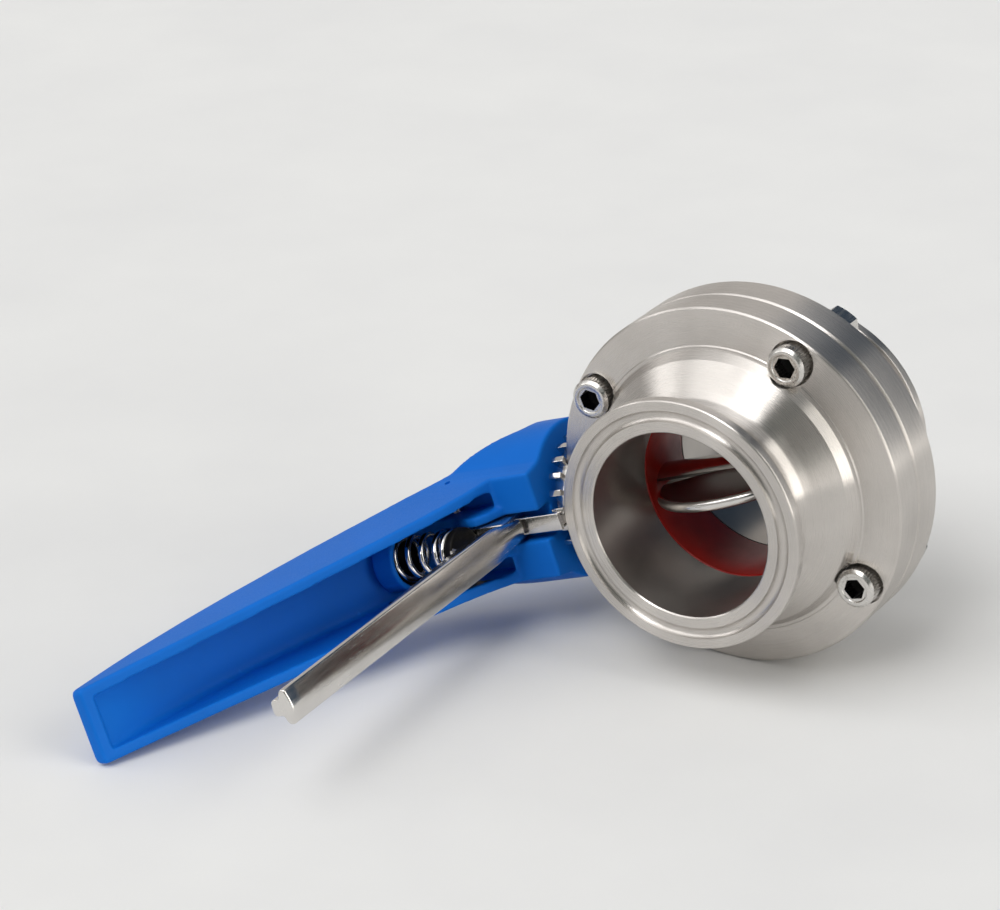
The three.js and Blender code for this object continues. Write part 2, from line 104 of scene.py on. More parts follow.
DISC_R = 23.3
STEM_R = 5.5
SQUARE = 9
SQUARE_TOP = 60.4
TRUNNION_END = -37.5
LAND_Z = 44.4
BOSS_HALF = 9
BOSS_TOP = 49.4

PLATE_R = 17.4
PLATE_NOTCH_R = 14.6
PLATE_BOTTOM = 44.7
PLATE_TOP = 48.2
NOTCH_PITCH = 15
NOTCH_WIDTH = 3

HUB_R = 20.5
HUB_BOTTOM = 50
HUB_TOP = 61
HEAD_FRONT_X = 20
TIP_X = 128
RIM_LINE = ((20, 61.8), (128, 114))
BACK_LINE = (
    (-8, 60.9),
    (0, 62),
    (6, 69.4),
    (13, 78.4),
    (22, 86.6),
    (34, 93.8),
    (48, 100),
    (64, 105.6),
    (80, 110.4),
    (95, 113.8),
    (110, 116.2),
    (128, 117.5),
)
HALF_WIDTHS = ((8, 17.2), (12.5, 15.6), (20, 14), (34, 12.6), (60, 11.5), (90, 10.6), (128, 9.7))
WALL = 2.8
FLOOR = 3.6
CHANNEL_START = 24.5
SLOT_HALF = 4
CHEEK_OUTER = 6.4
EYE_ROOM_R = 3.9
SCREW_WELL_R = 8.5
WASHER_R = 7
WASHER_TOP = 62.9

SPRING_X = 32
SPRING_R = 5.4
SPRING_WIRE_R = 0.8
SPRING_TURNS = 4.6
SPRING_BOTTOM = 68.9
SPRING_TOP = 86.2
CUP_R = 8.2
CUP_HOLLOW_R = 6.7
CUP_DEPTH = 2.4

ARM_START = 20.2
ARM_END = 127.9
FLANGE_BOTTOM = ((22, 56), (128, 51))
FLANGE_TOP = ((22, 59.4), (128, 54.1))
FLANGE_HALVES = ((20, 2.6), (22, 2.7), (26, 3.4), (31, 4.3), (34, 4.4), (128, 4.4))
NOSE_PLATE_HALF = 2.3
RIB_TOP = ((22, 68), (128, 57.5))
RIB_HALF = 2.1
PAD_R = 6.1
PEG_R = 3.4

FINE = 192  # segments round the large turned pieces
MEDIUM = 64
ROUND_STEPS = 4

# ---- mesh helpers -------------------------------------------------------------------------------


def new_object(name, bm):
    """A mesh object from a bmesh, in valve millimetres, with its faces pointing outwards."""
    bmesh.ops.remove_doubles(bm, verts=bm.verts, dist=1e-4)
    bmesh.ops.recalc_face_normals(bm, faces=bm.faces)
    mesh = bpy.data.meshes.new(name)
    bm.to_mesh(mesh)
    bm.free()
    obj = bpy.data.objects.new(name, mesh)
    bpy.context.scene.collection.objects.link(obj)
    return obj


def bake(obj):
    """Applies the object's modifiers to its mesh."""
    bpy.context.view_layer.update()
    depsgraph = bpy.context.evaluated_depsgraph_get()
    evaluated = obj.evaluated_get(depsgraph)
    mesh = bpy.data.meshes.new_from_object(
        evaluated, preserve_all_data_layers=True, depsgraph=depsgraph
    )
    obj.modifiers.clear()
    obj.data = mesh


def combine(target, others, operation):
    """Joins, cuts or intersects the target with the other objects, which are used up."""
    for other in others:
        modifier = target.modifiers.new(operation.lower(), "BOOLEAN")
        modifier.operation = operation
        modifier.solver = "EXACT"
        modifier.object = other
    bake(target)
    for other in others:
        bpy.data.objects.remove(other)
    return target


def bevel(obj, width, segments=2, angle=30):
    modifier = obj.modifiers.new("bevel", "BEVEL")
    modifier.width = width
    modifier.segments = segments
    modifier.limit_method = "ANGLE"
    modifier.angle_limit = math.radians(angle)
    bake(obj)
    return obj


def shade(obj, angle):
    """Smooth shading, with the edges sharper than an angle left crisp."""
    obj.data.polygons.foreach_set("use_smooth", [True] * len(obj.data.polygons))
    obj.data.set_sharp_from_angle(angle=math.radians(angle))
    return obj


def rounded(outline):
    """Outline points (a, b, reach): a corner with a reach is rounded off that far along its sides."""
    points = []
    for i, (a, b, reach) in enumerate(outline):
        corner = Vector((a, b))
        before = Vector(outline[i - 1][:2]) - corner
        after = Vector(outline[(i + 1) % len(outline)][:2]) - corner
        if reach == 0:
            points.append(corner)
            continue
        start = corner + before.normalized() * min(reach, 0.48 * before.length)
        end = corner + after.normalized() * min(reach, 0.48 * after.length)
        for k in range(ROUND_STEPS + 1):
            t = k / ROUND_STEPS
            points.append((1 - t) ** 2 * start + 2 * t * (1 - t) * corner + t**2 * end)
    return points


def arc(a, b, r, start, end, steps):
    """Points on a circular arc, angles in degrees."""
    angles = [math.radians(start + (end - start) * k / steps) for k in range(steps + 1)]
    return [(a + r * math.cos(t), b + r * math.sin(t)) for t in angles]


def spin(r, h, angle, axis):
    """The point at radius r and height h, turned by an angle about an axis."""
    c, s = r * math.cos(angle), r * math.sin(angle)
    return {"x": (h, s, c), "y": (c, h, s), "z": (c, s, h)}[axis]


def lathe(name, outline, axis="x", segments=FINE):
    """A closed outline of (radius, height) points turned about an axis. It may be a function of the angle.

    The UV map follows the turning: u round the axis and v along the outline, in millimetres.
    """
    outline_at = outline if callable(outline) else lambda angle: outline
    bm = bmesh.new()
    uv = bm.loops.layers.uv.new("turning")
    first = [Vector(p) for p in outline_at(0)]
    steps = [(first[(i + 1) % len(first)] - p).length for i, p in enumerate(first)]
    along = [sum(steps[:i]) for i in range(len(first) + 1)]
    rings = []
    for k in range(segments):
        angle = 2 * math.pi * k / segments
        rings.append([bm.verts.new(spin(r, h, angle, axis)) for r, h in outline_at(angle)])
    for k in range(segments):
        here, there = rings[k], rings[(k + 1) % segments]
        for i in range(len(first)):
            j = (i + 1) % len(first)
            face = bm.faces.new((here[i], there[i], there[j], here[j]))
            corners = ((k, i), (k + 1, i), (k + 1, i + 1), (k, i + 1))
            for loop, (turn, step) in zip(face.loops, corners):
                loop[uv].uv = (100 * turn / segments, along[step])
    return new_object(name, bm)


def prism(name, outline, axis, low, high):
    """An outline made thick: (x, z) points across y, or (x, y) points along z."""
    bm = bmesh.new()

    def at(a, b, level):
        return (a, level, b) if axis == "y" else (a, b, level)

    ends = [[bm.verts.new(at(a, b, level)) for a, b in outline] for level in (low, high)]
    count = len(ends[0])
    for i in range(count):
        j = (i + 1) % count
        bm.faces.new((ends[0][i], ends[0][j], ends[1][j], ends[1][i]))
    for end in ends:
        bm.faces.new(end)
    return new_object(name, bm)


def loft(name, sections):
    """A closed skin through sections that have the same number of points."""
    bm = bmesh.new()
    uv = bm.loops.layers.uv.new("turning")
    rings = [[bm.verts.new(p) for p in section] for section in sections]
    count = len(rings[0])
    for k, (here, there) in enumerate(zip(rings, rings[1:])):
        for i in range(count):
            j = (i + 1) % count
            face = bm.faces.new((here[i], here[j], there[j], there[i]))
            for loop, (station, around) in zip(face.loops, ((k, i), (k, i + 1), (k + 1, i + 1), (k + 1, i))):
                loop[uv].uv = (station, around)
    bm.faces.new(rings[0])
    bm.faces.new(rings[-1])
    return new_object(name, bm)


def box(name, x, y, z):
    return prism(name, [(x[0], y[0]), (x[1], y[0]), (x[1], y[1]), (x[0], y[1])], "z", *z)


def rod(name, r, x0, x1, place=(0, 0), axis="x", segments=MEDIUM):
    """A plain cylinder along an axis, used as a cutter or a core."""
    obj = lathe(name, [(0, x0), (r, x0), (r, x1), (0, x1)], axis, segments)
    shift = {"x": (0, *place), "y": (place[0], 0, place[1]), "z": (*place, 0)}[axis]
    obj.data.transform(Matrix.Translation(shift))
    return obj


def line_at(line, x):
    """The value at x of a straight line through two points."""
    (x0, v0), (x1, v1) = line
    return v0 + (v1 - v0) * (x - x0) / (x1 - x0)


def curve_at(points, x):
    """The value at x of a smooth curve through (x, value) points, by cubic Hermite pieces."""
    i = next((k for k in range(1, len(points)) if points[k][0] >= x), len(points) - 1)
    (x0, v0), (x1, v1) = points[i - 1], points[i]
    xa, va = points[max(i - 2, 0)]
    xb, vb = points[min(i + 1, len(points) - 1)]
    slope0 = (v1 - va) / (x1 - xa)
    slope1 = (vb - v0) / (xb - x0)
    t = (x - x0) / (x1 - x0)
    span = x1 - x0
    return (
        (2 * t**3 - 3 * t**2 + 1) * v0
        + (t**3 - 2 * t**2 + t) * span * slope0
        + (3 * t**2 - 2 * t**3) * v1
        + (t**3 - t**2) * span * slope1
    )


# ---- materials ----------------------------------------------------------------------------------


class Paint:
    """A material's node tree, built a node at a time."""

    def __init__(self, name, **shader_values):
        self.material = bpy.data.materials.new(name)
        self.material.use_nodes = True
        self.tree = self.material.node_tree
        self.shader = self.tree.nodes["Principled BSDF"]
        for socket, value in shader_values.items():
            self.shader.inputs[socket.replace("_", " ")].default_value = value

    def node(self, kind, inputs=None, **settings):
        node = self.tree.nodes.new(kind)
        for key, value in settings.items():
            setattr(node, key, value)
        for socket, value in (inputs or {}).items():
            if isinstance(value, bpy.types.NodeSocket):
                self.tree.links.new(value, node.inputs[socket])
            else:
                node.inputs[socket].default_value = value
        return node

    def link(self, output, socket):
        self.tree.links.new(output, self.shader.inputs[socket])

    def ranged(self, value, low, high, start=0.0, end=1.0):
        """A value stretched from start..end to low..high."""
        inputs = {"Value": value, "From Min": start, "From Max": end, "To Min": low, "To Max": high}
        return self.node("ShaderNodeMapRange", inputs).outputs["Result"]

    def noise(self, scale, detail=4, roughness=0.55, vector=None):
        """Noise over the object, in cycles per metre of the row frame."""
        coordinates = vector or self.node("ShaderNodeTexCoord").outputs["Object"]
        inputs = {"Vector": coordinates, "Scale": scale, "Detail": detail, "Roughness": roughness}
        return self.node("ShaderNodeTexNoise", inputs).outputs["Fac"]

    def blend(self, factor, first, second):
        """A mix of two colours."""
        mix = self.node("ShaderNodeMix", data_type="RGBA")
        self.tree.links.new(factor, mix.inputs["Factor"])
        for socket, colour in (("A", first), ("B", second)):
            inputs = [i for i in mix.inputs if i.name == socket and i.type == "RGBA"]
            if isinstance(colour, bpy.types.NodeSocket):
                self.tree.links.new(colour, inputs[0])
            else:
                inputs[0].default_value = (*colour, 1)
        return next(o for o in mix.outputs if o.type == "RGBA")

    def bump(self, height, strength, distance):
        inputs = {"Height": height, "Strength": strength, "Distance": distance}
        self.link(self.node("ShaderNodeBump", inputs).outputs["Normal"], "Normal")


def turning_marks(paint, frequency):
    """Fine grooves along the cutter's path: noise that changes only along the outline."""
    uv = paint.node("ShaderNodeUVMap", uv_map="turning").outputs["UV"]
    across = paint.node("ShaderNodeSeparateXYZ", {"Vector": uv}).outputs["Y"]
    inputs = {"W": across, "Scale": frequency, "Detail": 6.0, "Roughness": 0.7}
    return paint.node("ShaderNodeTexNoise", inputs, noise_dimensions="1D").outputs["Fac"]


def turned_steel(name, colour, roughness, anisotropic, groove):
    paint = Paint(name, Metallic=1.0, Anisotropic=anisotropic, Anisotropic_Rotation=0.25)
    marks = turning_marks(paint, 9.0)
    cloud = paint.noise(60, 3)
    worn = tuple(c * 0.86 for c in colour)
    paint.link(paint.blend(paint.ranged(cloud, 0, 1, 0.35, 0.7), colour, worn), "Base Color")
    paint.link(paint.ranged(marks, roughness * 0.8, roughness * 1.25), "Roughness")
    tangent = paint.node("ShaderNodeTangent", direction_type="UV_MAP", uv_map="turning")
    paint.link(tangent.outputs["Tangent"], "Tangent")
    paint.bump(marks, groove, 0.00004)
    return paint.material


def polished_steel(name, colour, roughness, rubbed=0.12):
    """Bright metal with faint rubbing marks and smears."""
    paint = Paint(name, Metallic=1.0)
    coordinates = paint.node("ShaderNodeTexCoord").outputs["Object"]
    stretched = paint.node(
        "ShaderNodeMapping", {"Vector": coordinates, "Scale": (1.0, 0.12, 1.0)}
    ).outputs["Vector"]
    rubs = paint.noise(900, 5, 0.7, stretched)
    smears = paint.noise(90, 3)
    dull = tuple(c * 0.88 for c in colour)
    paint.link(paint.blend(paint.ranged(smears, 0, 1, 0.4, 0.7), colour, dull), "Base Color")
    low, high = roughness * (1 - 2.5 * rubbed), roughness * (1 + 4 * rubbed)
    paint.link(paint.ranged(rubs, low, high, 0.3, 0.7), "Roughness")
    paint.bump(rubs, rubbed, 0.00003)
    return paint.material


def moulded_plastic(name, colour, lit, roughness, grain):
    """Moulded plastic: fine spark texture, slow colour drift, and edges painted lighter as a highlight."""
    paint = Paint(name, IOR=1.5, Specular_IOR_Level=0.1)
    drift = paint.noise(45, 3)
    highlight_edges = paint.node("ShaderNodeNewGeometry").outputs["Pointiness"]
    ground = paint.blend(paint.ranged(drift, 0, 1, 0.3, 0.75), colour, tuple(c * 0.9 for c in colour))
    # Painted highlight: the sharp edges blend towards the lit colour.
    paint.link(paint.blend(paint.ranged(highlight_edges, 0, 0.55, 0.5, 0.62), ground, lit), "Base Color")
    sparks = paint.noise(2600, 4, 0.6)
    paint.link(paint.ranged(sparks, roughness * 0.85, roughness * 1.2, 0.3, 0.7), "Roughness")
    paint.bump(sparks, grain, 0.00006)
    return paint.material


def silicone(name, colour):
    paint = Paint(name, IOR=1.43, Subsurface_Weight=0.15, Subsurface_Scale=0.002)
    paint.shader.inputs["Subsurface Radius"].default_value = (1.0, 0.2, 0.1)
    drift = paint.noise(120, 4)
    dusk = tuple(c * 0.7 for c in colour)
    paint.link(paint.blend(paint.ranged(drift, 0, 1, 0.3, 0.7), colour, dusk), "Base Color")
    paint.link(paint.ranged(drift, 0.28, 0.42, 0.3, 0.7), "Roughness")
    paint.bump(paint.noise(1500, 3), 0.08, 0.00005)
    return paint.material


BODY_STEEL = turned_steel("turned_steel", (0.645, 0.61, 0.575), 0.27, 1.0, 0.25)
BRIGHT_STEEL = polished_steel("polished_steel", (0.72, 0.70, 0.675), 0.14)
# Painted shade: a darker copy of the turned steel for the dim bore.
BORE_SHADE_STEEL = turned_steel("bore_shade_steel", (0.48, 0.45, 0.42), 0.3, 0.8, 0.25)
# Painted shade: a very dark steel for the disc's faces inside the bore.
DISC_SHADE_STEEL = polished_steel("disc_shade_steel", (0.20, 0.195, 0.185), 0.34, 0.02)
TRIGGER_STEEL = polished_steel("trigger_steel", (0.70, 0.68, 0.655), 0.2)
FASTENER_STEEL = polished_steel("fastener_steel", (0.66, 0.64, 0.61), 0.24)
# Painted shade: a dark steel for the walls of the hexagon sockets.
SOCKET_SHADE_STEEL = polished_steel("socket_shade_steel", (0.16, 0.155, 0.145), 0.22)
SPRING_STEEL = polished_steel("spring_steel", (0.74, 0.73, 0.71), 0.12)
BLUE_PLASTIC = moulded_plastic("blue_plastic", (0.004, 0.144, 0.60), (0.009, 0.19, 0.71), 0.45, 0.10)
# Painted shade: a near-black plastic put in the spring's cup, beside the spring, on the trigger's pad and in the
# screws' sockets, where shadow falls.
PAINTED_SHADE_BLACK = moulded_plastic("painted_shade_black", (0.006, 0.0055, 0.005), (0.012, 0.011, 0.01), 0.3, 0.1)
RED_SILICONE = silicone("red_silicone", (0.42, 0.012, 0.006))
WHITE_PLASTIC = moulded_plastic("white_plastic", (0.80, 0.79, 0.74), (0.88, 0.87, 0.84), 0.45, 0.08)


def paint_faces(obj, materials, choose):
    """Gives an object several materials: choose(face) is a face's place in the list."""
    for material in materials:
        obj.data.materials.append(material)
    for face in obj.data.polygons:
        face.material_index = choose(face)


def finish_piece(obj, body, node, material):
    """Puts a finished piece in the row frame, on its body, in place of its CAD node."""
    obj.data.transform(PLACE)
    if not obj.data.materials:
        obj.data.materials.append(material)
    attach(obj, body)
    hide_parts(node)
    return obj


# ---- body ---------------------------------------------------------------------------------------


def half_outline():
    """One half's section in (radius, distance from the joint plane), its machined edges just broken."""
    bevel_back = FACE - 2.85 - (FERRULE_R - NECK_R) * math.tan(math.radians(20))
    groove = [(r, h, 0) for r, h in arc(GROOVE_R, FACE + 0.25, 1.45, -10, -170, 10)]
    return rounded(
        [
            (SEAT_R + 0.3, HALF_GAP, 0),
            (RIM_R - 0.5, HALF_GAP, 0.1),
            (RIM_R, HALF_GAP + 0.5, 0.1),
            (RIM_R, RIM_X - 0.45, 0.1),
            (RIM_R - 0.45, RIM_X, 0.1),
            (37.3, 11.2, 0),
            (37.0, 11.5, 0.1),
            (36.6, 11.55, 0.1),
            (36.2, 11.7, 0),
            (34.6, 14.2, 0.1),
            (34.1, 14.55, 0.1),
            (28.6, 18.6, 0.5),
            (26.9, 20.2, 0.5),
            (NECK_R, 22.6, 0.6),
            (NECK_R, bevel_back, 0.5),
            (FERRULE_R, FACE - 2.85, 0.3),
            (FERRULE_R, FACE - 0.35, 0.15),
            (FERRULE_R - 0.35, FACE, 0.15),
            *groove,
            (BORE_R + 0.35, FACE, 0.1),
            (BORE_R, FACE - 0.35, 0.1),
            (BORE_R, SEAT_HALF + 0.3, 0),
            (SEAT_R + 0.3, SEAT_HALF + 0.3, 0),
        ]
    )


def body_half(name, spot_face_x):
    """One half of the body on the +x side, with its land, boss and spot faces."""
    half = lathe(name, half_outline())
    land = box("land", (-1, RIM_X + 2), (-RIM_R, RIM_R), (LAND_Z, RIM_R + 1))
    spot_faces = []
    for angle in BOLT_ANGLES:
        place = spin(BOLT_CIRCLE_R, 0, math.radians(angle), "x")[1:]
        spot_faces.append(rod("spot_face", SPOT_FACE_R, spot_face_x, 20, place))
    combine(half, [land, *spot_faces], "DIFFERENCE")
    boss = bevel(box("boss", (HALF_GAP, BOSS_HALF), (-BOSS_HALF, BOSS_HALF), (LAND_Z - 2, BOSS_TOP)), 0.3)
    combine(half, [boss], "UNION")
    return half


def paint_body(half):
    """Turned steel outside, and in the bore a rougher copy whose darker colour is painted shade."""

    def choose(face):
        x, y, z = face.center
        return int(math.hypot(y, z) < BORE_R + 0.1 and abs(x) < FACE - 0.4)

    paint_faces(half, (BODY_STEEL, BORE_SHADE_STEEL), choose)


def build_body():
    front = shade(body_half("front_half", HEAD_SEAT_X - 0.3), 24)
    paint_body(front)
    finish_piece(front, "valve_body", "body_front", BODY_STEEL)
    rear = body_half("rear_half", RIM_X + 0.2)
    rear.data.transform(Matrix.Rotation(math.pi, 4, "Z"))
    shade(rear, 24)
    paint_body(rear)
    finish_piece(rear, "valve_body", "body_rear", BODY_STEEL)


# ---- bolts and nuts -----------------------------------------------------------------------------


def knurl(obj, count, depth):
    """Straight knurling on the side of a screw's head, which stands on x = 0."""
    for vertex in obj.data.vertices:
        x, y, z = vertex.co
        r = math.hypot(y, z)
        if r > HEAD_R - 0.15 and 0.5 < x < HEAD_LENGTH - 0.9:
            factor = (r - depth * (0.5 + 0.5 * math.cos(count * math.atan2(y, z)))) / r
            vertex.co = (x, y * factor, z * factor)


def cap_screw(name, length, threaded):
    """A socket cap screw along +x: knurled head on x = 0, hexagon socket, and thread at the shank's end."""
    pitch = 1.0
    thread = []
    for k in range(round(threaded / pitch)):
        low = -length + 0.7 + k * pitch
        thread += [(BOLT_R - 0.42, low, 0), (BOLT_R, low + pitch / 2, 0)]
    outline = [
        (0, -length, 0),
        (BOLT_R - 0.8, -length, 0),
        (BOLT_R - 0.45, -length + 0.35, 0),
        *thread,
        (BOLT_R, 0, 0),
        (HEAD_R - 0.3, 0, 0),
        (HEAD_R, 0.3, 0),
        (HEAD_R, 0.55, 0),
        (HEAD_R, HEAD_LENGTH - 0.95, 0),
        (HEAD_R, HEAD_LENGTH - 0.8, 0),
        (HEAD_R - 0.75, HEAD_LENGTH, 0.25),
        (3.35, HEAD_LENGTH, 0.12),
        (3.2, HEAD_LENGTH - 0.25, 0.12),
        (0, HEAD_LENGTH - 0.25, 0),
    ]
    screw = lathe(name, rounded(outline), "x", 144)
    knurl(screw, KNURLS, KNURL_DEPTH)
    above = HEAD_LENGTH + 1
    point, wall = HEAD_LENGTH - 4.6, HEAD_LENGTH - 3.8
    socket_outline = [(0, point), (SOCKET_R, wall), (SOCKET_R, above), (0, above)]
    combine(screw, [lathe("socket", socket_outline, "x", 6)], "DIFFERENCE")

    # Painted shade in the hexagon socket: dark steel on its walls and black at its bottom.
    def choose(face):
        x, y, z = face.center
        in_socket = math.hypot(y, z) < SOCKET_R + 0.05 and 1 < x < HEAD_LENGTH - 0.5
        is_bottom = abs(face.normal.x) > 0.5
        return (1 + is_bottom) if in_socket else 0

    paint_faces(screw, (FASTENER_STEEL, SOCKET_SHADE_STEEL, PAINTED_SHADE_BLACK), choose)
    return shade(screw, 32)


def hexagon_radius(flats, angle):
    """The distance from a hexagon's middle to its edge."""
    sixth = math.pi / 3
    return flats / 2 / math.cos((angle + sixth / 2) % sixth - sixth / 2)


def hex_nut(name):
    """A hexagon nut from x = 0 towards -x, chamfered both sides, with the thread's mouth in it."""
    flat_r = NUT_FLATS / 2 - 0.15
    slope = math.tan(math.radians(30))

    def outline(angle):
        r = hexagon_radius(NUT_FLATS, angle)
        drop = (r - flat_r) * slope
        return [
            (BOLT_R + 0.02, -0.5),
            (BOLT_R + 0.5, 0),
            (flat_r, 0),
            (r, -drop),
            (r, -NUT_LENGTH + drop),
            (flat_r, -NUT_LENGTH),
            (BOLT_R + 0.5, -NUT_LENGTH),
            (BOLT_R + 0.02, -NUT_LENGTH + 0.5),
        ]

    return shade(lathe(name, outline, "x", 96), 28)


def build_fasteners():
    for i, angle in enumerate(BOLT_ANGLES, 1):
        place = spin(BOLT_CIRCLE_R, 0, math.radians(angle), "x")[1:]
        screw = cap_screw(f"flange_screw_{i}", HEAD_SEAT_X - BOLT_END_X, 9)
        turn = Matrix.Rotation(math.radians(23 + 71 * i), 4, "X")
        screw.data.transform(Matrix.Translation((HEAD_SEAT_X, *place)) @ turn)
        finish_piece(screw, "valve_body", f"body_bolt_{i}", FASTENER_STEEL)
        nut = hex_nut(f"flange_nut_{i}")
        turn = Matrix.Rotation(math.radians(-angle), 4, "X")
        nut.data.transform(Matrix.Translation((NUT_SEAT_X, *place)) @ turn)
        finish_piece(nut, "valve_body", f"body_nut_{i}", FASTENER_STEEL)
    screw = cap_screw("lever_screw", 12, 9)
    screw.data.transform(Matrix.Translation((0, 0, WASHER_TOP + 0.3)) @ Matrix.Rotation(-math.pi / 2, 4, "Y"))
    finish_piece(screw, "disc_and_handle", "handle_screw", FASTENER_STEEL)
    washer_outline = [
        (BOLT_R + 0.3, HUB_TOP + 0.3, 0.2),
        (WASHER_R, HUB_TOP + 0.3, 0.3),
        (WASHER_R, WASHER_TOP, 0.3),
        (BOLT_R + 0.3, WASHER_TOP, 0.2),
    ]
    washer = shade(lathe("lever_washer", rounded(washer_outline), "z", 96), 40)
    finish_piece(washer, "disc_and_handle", "handle_washer", FASTENER_STEEL)
    pin_outline = [(0, -13.5, 0), (1.75, -13.5, 0.35), (1.75, 13.5, 0.35), (0, 13.5, 0)]
    pin = shade(lathe("pivot_pin", rounded(pin_outline), "y", 48), 40)
    pin.data.transform(Matrix.Translation((PIVOT.x, 0, PIVOT.z)))
    finish_piece(pin, "disc_and_handle", "trigger_pin", FASTENER_STEEL)


# ---- seat, disc, plate --------------------------------------------------------------------------


def build_seat():
    outline = [
        (SEAT_BORE_R, -SEAT_HALF, 0.6),
        (SEAT_R, -SEAT_HALF, 0.3),
        (SEAT_R, SEAT_HALF, 0.3),
        (SEAT_BORE_R, SEAT_HALF, 0.6),
        (SEAT_BORE_R - 0.12, 0, 2.5),
    ]
    seat = shade(lathe("seat_ring", rounded(outline)), 40)
    finish_piece(seat, "valve_body", "seat", RED_SILICONE)


def build_disc():
    """The disc, crowned on both faces with a round edge, and its stem through the middle."""
    edge_r = 1.5
    crown = [(0, -3), (6, -2.95), (12, -2.55), (17, -2.0)]
    edge = arc(DISC_R - edge_r, 0, edge_r, -78, 78, 16)
    disc = lathe("disc_with_stem", [*crown, *edge, *[(r, -h) for r, h in reversed(crown)]], "y")
    stem_outline = [
        (0, TRUNNION_END, 0),
        (STEM_R, TRUNNION_END, 0.8),
        (STEM_R, HUB_BOTTOM, 0.2),
        (0, HUB_BOTTOM, 0),
    ]
    stem = lathe("stem", rounded(stem_outline), "z", 96)
    half = SQUARE / 2
    square = bevel(box("square", (-half, half), (-half, half), (HUB_BOTTOM - 1, SQUARE_TOP)), 0.8)
    combine(disc, [stem, square], "UNION")
    shade(disc, 35)

    # Painted shade: the disc's crowned faces get the very dark steel, and its round edge stays bright.
    def choose(face):
        x, y, z = face.center
        return int(math.hypot(x, z) < DISC_R - edge_r - 0.1 and abs(y) < 3.1)

    paint_faces(disc, (BRIGHT_STEEL, DISC_SHADE_STEEL), choose)
    finish_piece(disc, "disc_and_handle", "disc_and_stem", BRIGHT_STEEL)


def build_index_plate():
    """The round plate with a notch every NOTCH_PITCH degrees, its edges broken."""
    tip = math.degrees(math.asin(NOTCH_WIDTH / 2 / PLATE_R))
    root = math.degrees(math.asin(NOTCH_WIDTH / 2 / PLATE_NOTCH_R))
    outline = []
    for k in range(360 // NOTCH_PITCH):
        angle = k * NOTCH_PITCH
        outline += arc(0, 0, PLATE_NOTCH_R, angle - root, angle + root, 2)
        outline += arc(0, 0, PLATE_R, angle + tip, angle + NOTCH_PITCH - tip, 3)
    plate = prism("notched_plate", outline, "z", PLATE_BOTTOM, PLATE_TOP)
    hole = BOSS_HALF + 0.3
    cutter = box("hole", (-hole, hole), (-hole, hole), (PLATE_BOTTOM - 1, PLATE_TOP + 1))
    combine(plate, [cutter], "DIFFERENCE")
    bevel(plate, 0.35, 3, 35)
    shade(plate, 50)
    finish_piece(plate, "valve_body", "index_plate", BRIGHT_STEEL)


def build_bushes():
    """The white bushes keep their CAD shape and get their own material."""
    for node in ("upper_bush", "lower_bush"):
        for slot in frame["nodes"][node].material_slots:
            slot.material = WHITE_PLASTIC


# ---- handle -------------------------------------------------------------------------------------


def handle_half_width(x):
    """The handle's half width at x: round over the hub, then tapering along the arm."""
    return math.sqrt(HUB_R**2 - x**2) if x < 13.2 else curve_at(HALF_WIDTHS, x)


def handle_section(x):
    """The handle's section at x: a flat underside or an open rim below, and a rounded back above."""
    half = handle_half_width(x)
    low = HUB_BOTTOM if x <= HEAD_FRONT_X else line_at(RIM_LINE, x)
    high = HUB_TOP if x < -1 else curve_at(BACK_LINE, x)
    soft = 1.8 + 1.2 * min(max((24 - x) / 12, 0), 1) - 1.4 * min(max((2 - x) / 4, 0), 1)
    soft = min(soft, 0.8 * half)
    outline = [(-half, low, 0.7), (half, low, 0.7), (half, high, soft), (-half, high, soft)]
    return [(x, y, z) for y, z in rounded(outline)]


def stations(start, end, step):
    count = round((end - start) / step)
    return [start + (end - start) * k / count for k in range(count + 1)]


def handle_blank():
    """Hub, head and arm as one skin; the arm's open rim starts at the head's flat front."""
    hub = [-HUB_R * math.cos(math.radians(a)) for a in range(8, 90, 8)]
    places = [*hub, *stations(0, HEAD_FRONT_X, 1), *stations(HEAD_FRONT_X + 0.02, TIP_X - 0.8, 3)]
    sections = [handle_section(x) for x in places]
    tip = [(TIP_X, 0.94 * y, z - 0.25 * (z - 115)) for _, y, z in sections[-1]]
    return loft("handle", [*sections, tip])


def channel_section(x):
    half = handle_half_width(x) - WALL
    high = curve_at(BACK_LINE, x) - FLOOR
    soft = min(2.2, 0.4 * (high - line_at(RIM_LINE, x)))
    outline = [(-half, 40, 0.9), (half, 40, 0.9), (half, high, soft), (-half, high, soft)]
    return [(x, y, z) for y, z in rounded(outline)]


def channel():
    """The room inside the arm, open towards the trigger, its mouth sloping up from the head's front."""
    body = loft("channel", [channel_section(x) for x in stations(CHANNEL_START, TIP_X - WALL, 3)])
    start, front = CHANNEL_START + 0.2, HEAD_FRONT_X + 1.2
    half = handle_half_width(22) - WALL
    mouth = prism("mouth", [(front, 40), (front, 62.8), (start, 69), (start, 40)], "y", -half, half)
    return combine(body, [mouth], "UNION")


def pockets():
    """The pockets beside the two cheeks that carry the trigger's pin."""
    cutters = []
    for side in (-1, 1):
        y = sorted((side * CHEEK_OUTER, side * (handle_half_width(22) - WALL)))
        outline = [(17, 62.4), (CHANNEL_START + 1, 62.4), (CHANNEL_START + 1, 79), (17, 79)]
        cutters.append(bevel(prism("pocket", outline, "y", *y), 0.8, 3))
    return cutters


